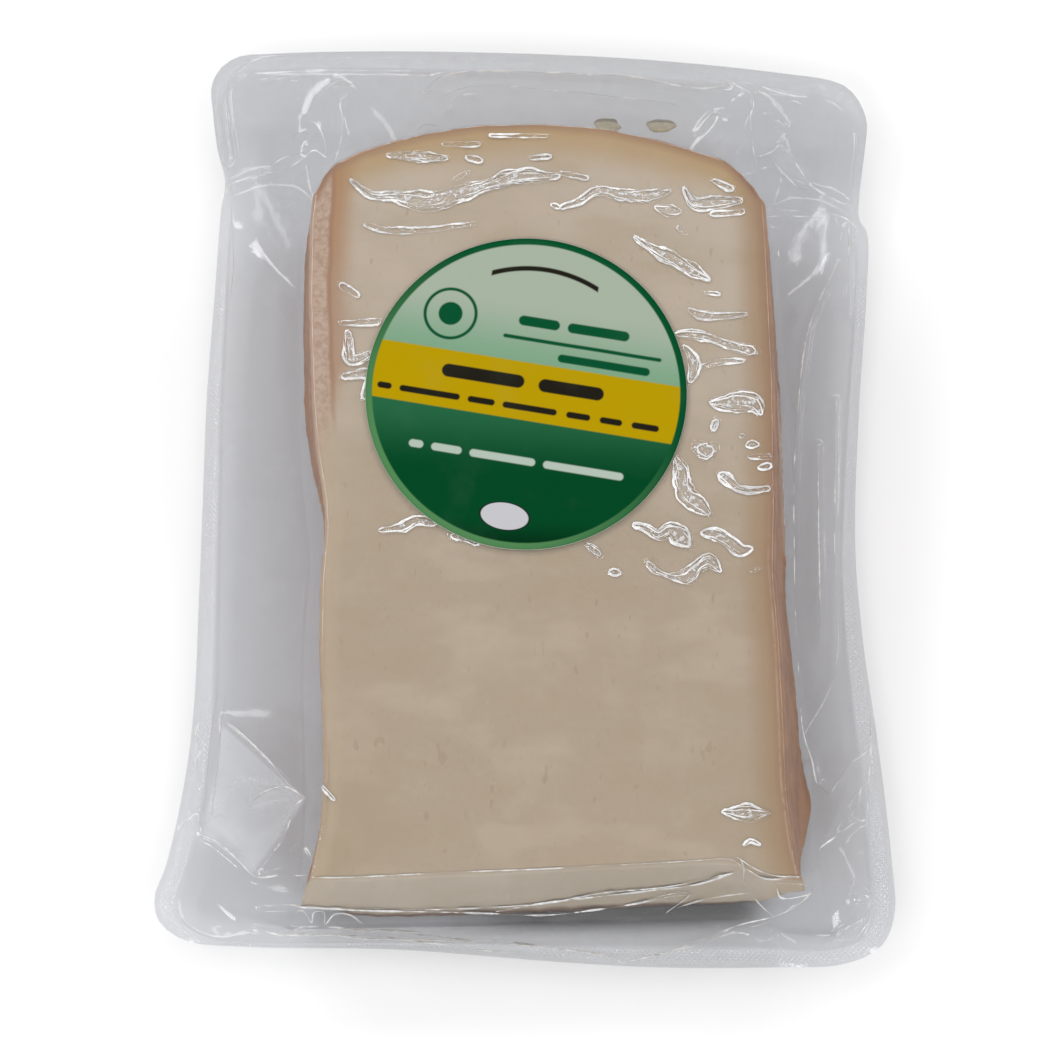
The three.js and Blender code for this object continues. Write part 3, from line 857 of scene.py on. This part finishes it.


# The folds of the film
# Where the film was drawn into a sharp fold or round a pucker it stands up in a thin ridge.
# Its white is a painted highlight, standing in for the glints of the softboxes along it, besides
# a little real whitening by the stretch. The ridges are about a tenth of a millimetre high.

# The white of each fold below is a painted highlight.
MORE_FOLDS = [  # sharp folds too fine for the sheet: how white each is, then its points
    (0.9, [(43.0, 70.7), (44.6, 71.2), (46.9, 70.3)]),
    (0.5, [(34.9, 49.7), (36.6, 51.6), (36.4, 50.4), (35.3, 49.5)]),
    (0.5, [(36.5, 45.2), (37.6, 46.3), (39.8, 43.7), (36.9, 44.3)]),
    (0.9, [(-38.7, 70.2), (-37.4, 71.2), (-35.1, 72.0), (-33.7, 71.5), (-34.3, 70.8), (-37.4, 70.6)]),
    (0.3, [(48.9, 31.8), (49.9, 36.5), (51.2, 39.8), (52.6, 40.8)]),
    (0.8, [(-52.4, -40.1), (-53.2, -43.0), (-52.3, -46.2), (-53.0, -47.4), (-52.4, -49.0),
           (-53.2, -50.6), (-52.7, -52.5), (-53.6, -54.5), (-53.2, -56.2), (-54.3, -57.7)]),
    (0.3, [(-54.5, 52.3), (-53.3, 42.7), (-53.1, 33.3)]),
    (0.2, [(-50.3, -37.0), (-50.7, -46.0), (-51.0, -56.0)]),
    (0.2, [(-48.9, -37.0), (-49.3, -46.0), (-49.6, -56.0)]),
    (0.9, [(-36.7, -61.4), (-35.7, -60.4), (-33.7, -62.2), (-34.6, -62.8), (-36.5, -61.9)]),
    (0.8, [(-32.9, -72.6), (-24.7, -72.9), (-14.1, -73.2)]),
    (0.9, [(53.1, -59.3), (53.9, -59.0), (53.7, -59.5)]),
    (0.9, [(52.6, -61.7), (53.1, -61.2), (53.6, -61.6), (53.0, -61.9), (52.6, -61.7)]),
    (0.5, [(51.2, -64.5), (52.8, -64.3), (54.7, -64.9)]),
    (0.6, [(31.6, -61.4), (34.7, -63.2), (37.7, -64.0), (42.6, -63.8)]),
    (0.5, [(32.1, -61.5), (33.7, -64.9), (36.7, -67.8), (39.0, -69.3)]),
    (0.5, [(-30.9, -66.0), (-25.5, -65.8), (-14.3, -65.0), (-4.0, -64.3), (2.6, -63.9),
           (11.5, -63.2), (18.3, -62.7), (26.2, -62.0), (29.2, -61.7), (30.8, -61.8),
           (33.3, -63.2), (36.1, -64.4), (41.0, -64.0)]),
    (1.0, [(-4.0, -69.8), (2.8, -68.5), (12.0, -67.2), (19.6, -66.2), (27.3, -65.0), (31.6, -63.5)]),
    (1.0, [(-34.6, -70.0), (-25.2, -70.2), (-12.7, -70.1), (-3.3, -70.1), (3.6, -70.1),
           (12.3, -69.0), (18.5, -67.9), (23.5, -66.8), (26.3, -66.6)]),
    (0.9, [(-42.2, -73.1), (-37.4, -74.0), (-34.4, -72.9), (-25.0, -73.1), (-14.1, -73.7),
           (-8.0, -74.2), (-4.0, -74.1), (4.6, -75.0), (14.1, -75.8)]),
    (0.9, [(-37.4, -74.3), (-34.3, -74.1), (-21.9, -74.1), (-12.5, -74.9), (-8.0, -75.5),
           (0.3, -75.9)]),
    (0.9, [(16.1, -76.9), (21.7, -75.5), (27.9, -73.8), (34.1, -71.6), (38.8, -70.1), (42.0, -67.6)]),
]
RIM_STEP = 0.45


def traced(run):
    """Close, even steps along a smooth line through a run of points."""
    run = np.array(run, float)
    ends = [2 * run[0] - run[1], *run, 2 * run[-1] - run[-2]]
    spans = []
    for p, q, r, s in zip(ends, ends[1:], ends[2:], ends[3:]):
        steps = max(2, int(np.linalg.norm(r[:2] - q[:2]) / RIM_STEP))
        spans.append(smooth_span(p, q, r, s, steps))
    return np.vstack([*spans, ends[-2]])


def wobble(dice, low, high, count):
    """Smoothed chance values from low to high, one for each of count places."""
    return np.convolve(dice.uniform(low, high, count + 4), np.ones(5) / 5, "valid")


def rim_of(run, dice):
    """The closed, uneven outline of a pucker."""
    line = traced(run)
    run_way = np.gradient(line[:, :2], axis=0)
    run_way /= np.linalg.norm(run_way, axis=1)[:, None]
    sideways = np.column_stack([-run_way[:, 1], run_way[:, 0]])
    gone = np.concatenate([[0], np.cumsum(np.linalg.norm(np.diff(line[:, :2], axis=0), axis=1))])
    to_end = np.minimum(gone, gone[-1] - gone)
    sides = []
    for side in (1, -1):
        uneven = wobble(dice, -1, 1, len(line)) * 0.55
        width = np.maximum(0.12, line[:, 2] * 1.05 + uneven * np.minimum(1, line[:, 2]))
        width *= np.sqrt(np.minimum(1, (to_end + 0.1) / np.maximum(0.5, line[:, 2] * 1.3)))
        sides.append(line[:, :2] + sideways * (side * width)[:, None])
    return np.vstack([sides[0], sides[1][::-1], sides[0][:1]])


def fold_finish():
    finish = Finish("film_folds")
    point = finish.place()
    spark = finish.noise(point, 1.2, 3.0, 0.7)
    fade = finish.noise(point, 5.0, 2.0)
    # Painted highlight: the white, broken by noise, stands in for the glints along each ridge; elsewhere
    # the ridge stays pale grey.
    glint = finish.attribute("glint_strength") * (fade.rise(0.35, 0.6) * 0.5 + spark.rise(0.45, 0.6) * 0.5)
    return finish.solid({
        "Base Color": finish.mix(glint, srgb(196, 194, 192), srgb(253, 253, 253)),
        "Roughness": 0.25, "Specular IOR Level": 0.6, "Normal": finish.bump(spark, 0.1),
    })


def sheet_below():
    """The top film as a tree of faces, to find its height under a point."""
    return BVHTree.FromPolygons(
        [vert.co for vert in top_film.data.vertices],
        [face.vertices[:] for face in top_film.data.polygons],
    )


def level_of(sheet, x, y):
    """How high the sheet lies at a place, or 0 beside it."""
    hit = sheet.ray_cast(Vector((x * MM, y * MM, 0.1)), Vector((0, 0, -1)))[0]
    return hit.z / MM if hit else 0.0


def film_folds():
    """Thin ridges that lie on the film along every fold and round every pucker."""
    sheet = sheet_below()
    dice = np.random.default_rng(40)
    lines = [(rim_of(run, dice), 0.14, 0.09, 1.0) for run in PUCKERS]
    for run in PUCKERS:
        for share in (0.72, 0.4):  # fainter ridges inside the wide ones
            inner = [(x, y, half_width * share) for x, y, half_width in run]
            if max(half_width for _, _, half_width in inner) > 0.38:
                lines.append((rim_of(inner, dice), 0.08, 0.05, 0.95))
    for height, half_width, run in CREASES:
        glint_strength = min(1.0, 1.6 * height)
        lines.append((traced(run), 0.11 * height + 0.02, 0.1, glint_strength))
    for glint_strength, run in MORE_FOLDS:
        width = 0.08 * glint_strength + 0.03
        lines.append((traced(run), width, 0.1, glint_strength))

    bm = bmesh.new()
    points, glint_strengths = [], []
    for line, half_width, height, glint_strength in lines:
        way = np.gradient(line, axis=0)
        way /= np.maximum(np.linalg.norm(way, axis=1), 1e-9)[:, None]
        sideways = np.column_stack([-way[:, 1], way[:, 0]])
        taper = np.minimum(1, np.minimum(np.arange(len(line)), np.arange(len(line))[::-1]) / 3 + 0.25)
        closed = np.allclose(line[0], line[-1])
        swell = wobble(dice, 0, 1, len(line))
        width = half_width * 1.3 * ease(swell, 0.36, 0.68) * (1 if closed else taper) + 0.012
        grid = bmesh.ops.create_grid(bm, x_segments=2, y_segments=len(line) - 1, size=0.5)["verts"]
        for vert in grid:
            column, row = round((vert.co.x + 0.5) * 2), round((vert.co.y + 0.5) * (len(line) - 1))
            place = line[row] + sideways[row] * width[row] * (column - 1)
            points.append((*place, level_of(sheet, *place) + 0.02 + height * (column == 1)))
            glint_strengths.append(glint_strength)
    piece = shaped(bm, "film_folds", np.array(points), {"glint_strength": glint_strengths}, fold_finish())


film_folds()


# The crumbs
# Two flat flakes that broke off the rind as the slab was slipped into its pack. They are
# caught between the two sheets of film, a little beyond the far end.

CRUMB_SINK, CRUMB_HALF = 0.5, 0.25  # how far below the film on top, and half its thickness
CRUMBS = [(11.5, 66.7, 2.3, 1.5), (21.2, 66.9, 2.6, 1.3)]  # middle, then half its two widths


def rind_crumbs():
    finish = Finish("rind_crumb")
    grain = finish.noise(finish.place(), 0.8, 3.0, 0.6)
    paint = finish.mix(grain.rise(0.35, 0.7), srgb(180, 172, 150), srgb(164, 154, 130))
    finish.solid({"Base Color": paint, "Roughness": 0.6, "Normal": finish.bump(grain, 0.15)})
    sheet = sheet_below()
    bm = bmesh.new()
    points = []
    for number, (x, y, half_x, half_y) in enumerate(CRUMBS):
        ball = np.array([
            vert.co for vert in bmesh.ops.create_icosphere(bm, subdivisions=4, radius=1.0)["verts"]
        ])
        ragged = 1 + 0.35 * waves(ball[:, :2] * 10, 11, 60 + number)[:, None]
        plan = ball[:, :2] * ragged * (half_x, half_y) + (x, y)
        level = level_of(sheet, x, y) - CRUMB_SINK
        points.append(np.column_stack([plan, level + CRUMB_HALF * ball[:, 2]]))
    piece = shaped(bm, "rind_crumbs", np.vstack(points), {}, finish.material)


rind_crumbs()


# The film beneath
# The second sheet of the pack. It lies flat on the table under the slab, and rises from the
# slab's foot to meet the sheet above it, where the two are welded together. A band of painted
# shadow darkens it along the front of the slab, and a fainter painted shade darkens its far margin.

FILM_LIFT = 0.05  # how high the sheet lies above the table
# Where the band of painted shadow in front of the slab lies.
FRONT_SHADE_FROM, FRONT_SHADE_TO = (61.0, 62.0), (63.0, 67.0)  # how far in front, where it begins and ends
FRONT_SHADE_LEFT, FRONT_SHADE_RIGHT = (-24.0, 2.0), (27.0, 35.0)  # how far across, where it begins and ends
# How dark the painted shade is along the front of the slab, and over the far margin.
FRONT_SHADE_DARK, FAR_SHADE_DARK = 0.7, 0.2


def film_beneath():
    bm = skirted_patch(60, 96, len(WALL_SHARES) + WEB_STEPS + len(SEAL_INSETS))
    across, along, ring = parameters(bm)
    points, inset, out = film_points(across, along, ring)
    on_web = (ring > len(WALL_SHARES)).astype(float)
    low = np.maximum(FILM_LIFT, points[:, 2] - 2.2 * (1 - ease(out, 0, 0.7)) - 0.15)
    points[:, 2] = np.where(on_web > 0, low, FILM_LIFT)
    points[:, 2] += weld_ridge(inset)
    u, v = in_slab(points[:, :2])
    # Painted shadow: a dark band on the sheet just in front of the slab's foot, standing in for the
    # slab's shadow.
    front_shade = ease(-v, *FRONT_SHADE_FROM) * (1 - ease(-v, *FRONT_SHADE_TO))
    front_shade *= ease(u, *FRONT_SHADE_LEFT) * (1 - ease(u, *FRONT_SHADE_RIGHT))
    # Painted shade: the far margin of the web is darkened, standing in for the shade there.
    stretched = ease(points[:, 1], 48, 64) * ease(out, 0.45, 0.85)
    piece = shaped(bm, "film_beneath", points, {
        "from_edge": inset, "on_web": on_web, "on_wall": on_web * 0,
        "in_pucker": np.full(len(points), -3.0), "on_facet": on_web * 0,
        "painted_shade": FRONT_SHADE_DARK * front_shade + FAR_SHADE_DARK * stretched,
    }, film_finish("clear_film_beneath", (0.745, 0.752, 0.768, 1), 0.03))


film_beneath()


# The label
# A round coated-paper label, stuck on the film. Its print is plain fields of colour: a pale
# field, a yellow band and a green field in a green rim, with rows of plain bars, a curved
# bar, a ring round a dot, and a pale oval.

LABEL_RADIUS = 25.0
LABEL_MIDDLE = (-1.3, 8.35)
LABEL_TURN = radians(-8.0)
LABEL_GAP = 0.32
LABEL_THICKNESS = 0.14
LABEL_RINGS, LABEL_SPOKES = 26, 144


def label_finish():
    finish = Finish("label_paper")
    spot = finish.node("UVMap", {"uv_map": "print"})
    u = finish.node("SeparateXYZ", None, {0: spot}, output=0) * 2 - 1
    v = finish.node("SeparateXYZ", None, {0: spot}, output=1) * 2 - 1
    radius = (u * u + v * v).math("SQRT")
    point = finish.place()
    cloud = finish.noise(point, 7.0, 3.0)
    grain = finish.noise(point, 0.25, 2.0)

    def above(value, level, blur=0.006):
        return value.rise(level - blur, level + blur)

    def box(mid_u, mid_v, half_u, half_v):
        return (1 - above(abs(u - mid_u), half_u)) * (1 - above(abs(v - mid_v), half_v))

    def bars(mid_v, half_v, *ends):
        """A row of bars with round ends, where each bar starts and ends in turn."""
        high = abs(v - mid_v)
        row = None
        for start, end in zip(ends[::2], ends[1::2]):
            wide = (abs(u - (start + end) / 2) - ((end - start) / 2 - half_v)).larger(0.0)
            bar = 1 - above((wide * wide + high * high).math("SQRT"), half_v)
            row = row.larger(bar) if row else bar
        return row

    pale = finish.mix(v.rise(0.15, 0.6), srgb(118, 156, 126), srgb(158, 170, 153))
    deep = finish.mix((v - u * 0.12).rise(-1.0, -0.8), srgb(0, 42, 18), srgb(0, 66, 33))
    deep = finish.mix((v - u * 0.1).rise(-0.55, -0.05), deep, srgb(36, 98, 64))
    field = finish.mix(above(v, 0.0), deep, pale)
    band = 1 - above(abs(v), 0.185)
    field = finish.mix(band, field, srgb(174, 144, 0))

    dark = bars(0.055, 0.042, -0.54, -0.02, 0.07, 0.48)
    small = (-0.92, -0.83, -0.78, -0.40, -0.35, -0.18, -0.13, 0.21, 0.27, 0.42, 0.48, 0.62, 0.68, 0.85)
    dark = dark.larger(bars(-0.105, 0.02, *small))
    arc = abs(radius - 0.80)
    dark = dark.larger((1 - above(arc, 0.016)) * box(0.0, 0.8, 0.34, 0.2))
    field = finish.mix(dark, field, srgb(30, 27, 20))
    green = bars(0.45, 0.032, -0.12, 0.14, 0.19, 0.58)
    green = green.larger(bars(0.335, 0.012, -0.20, 0.80))
    green = green.larger(bars(0.245, 0.026, 0.16, 0.74))
    from_dot = ((u + 0.55) * (u + 0.55) + (v - 0.42) * (v - 0.42)).math("SQRT")
    green = green.larger(above(from_dot, 0.15) * (1 - above(from_dot, 0.17)))
    green = green.larger(1 - above(from_dot, 0.075))
    field = finish.mix(green, field, srgb(4, 76, 44))
    light = bars(-0.44, 0.024, -0.66, -0.57, -0.52, -0.33, -0.28, 0.13, 0.18, 0.68)
    field = finish.mix(light, field, srgb(170, 184, 172))

    oval = (u * u / 0.0256 + (v + 0.80) * (v + 0.80) / 0.0081).math("SQRT")
    field = finish.mix(1 - above(oval, 1.0, 0.03), field, srgb(20, 40, 30))
    field = finish.mix(1 - above(oval, 0.92, 0.03), field, srgb(188, 188, 192))

    ring = finish.mix((v * 0.86 + u * 0.51).rise(-0.95, 0.5), srgb(78, 128, 80), srgb(0, 76, 40))
    field = finish.mix(above(radius, 0.957), field, ring)
    field = finish.mix(cloud.rise(0.5, 0.8) * 0.03, field, srgb(120, 160, 135))
    field = finish.mix(above(radius, 0.9985, 0.001), field, srgb(200, 202, 196))

    normal = finish.bump(cloud * 1.0 + grain * 0.05, 0.25)
    return finish.solid({
        "Base Color": field, "Roughness": 0.42, "Normal": normal, "Specular IOR Level": 0.03,
    })


def paper_label():
    bm = bmesh.new()
    spokes = [
        bm.verts.new((LABEL_RADIUS * i / LABEL_RINGS, 0, 0)) for i in range(LABEL_RINGS + 1)
    ]
    for inner, outer in zip(spokes, spokes[1:]):
        bm.edges.new((inner, outer))
    bmesh.ops.spin(
        bm, geom=bm.verts[:] + bm.edges[:], cent=(0, 0, 0), axis=(0, 0, 1), angle=2 * pi,
        steps=LABEL_SPOKES, use_merge=True,
    )
    bmesh.ops.remove_doubles(bm, verts=bm.verts, dist=1e-4)
    bmesh.ops.recalc_face_normals(bm, faces=bm.faces)
    if next(iter(bm.faces)).normal.z < 0:
        bmesh.ops.reverse_faces(bm, faces=bm.faces)
    top = bm.faces[:]
    bmesh.ops.solidify(bm, geom=top, thickness=LABEL_THICKNESS)
    printed = bm.loops.layers.uv.new("print")
    for face in bm.faces:
        for loop in face.loops:
            x, y = loop.vert.co.x / LABEL_RADIUS, loop.vert.co.y / LABEL_RADIUS
            across = cos(LABEL_TURN) * x + sin(LABEL_TURN) * y
            up = cos(LABEL_TURN) * y - sin(LABEL_TURN) * x
            loop[printed].uv = (across / 2 + 0.5, up / 2 + 0.5)
        face.smooth = abs(face.normal.z) > 0.5
    flat = np.array([vert.co for vert in bm.verts])
    swell = waves(flat[:, :2], 9, 21) * 0.05 + waves(flat[:, :2], 22, 22) * 0.06
    heights = flat[:, 2] - flat[:, 2].min()
    tilt = atan(TOP_RISE)
    for vert, height, lift in zip(bm.verts, heights, swell):
        x, y = vert.co.x, vert.co.y
        rise = top_height(LABEL_MIDDLE[1]) + FILM_GAP + LABEL_GAP + y * sin(tilt) + height + lift
        vert.co = Vector((x + LABEL_MIDDLE[0], y * cos(tilt) + LABEL_MIDDLE[1], rise)) * MM
    mesh = bpy.data.meshes.new("paper_label")
    bm.to_mesh(mesh)
    bm.free()
    mesh.materials.append(label_finish())
    piece = bpy.data.objects.new("paper_label", mesh)
    scene.collection.objects.link(piece)
    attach(piece, "root")
    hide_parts("label")


paper_label()
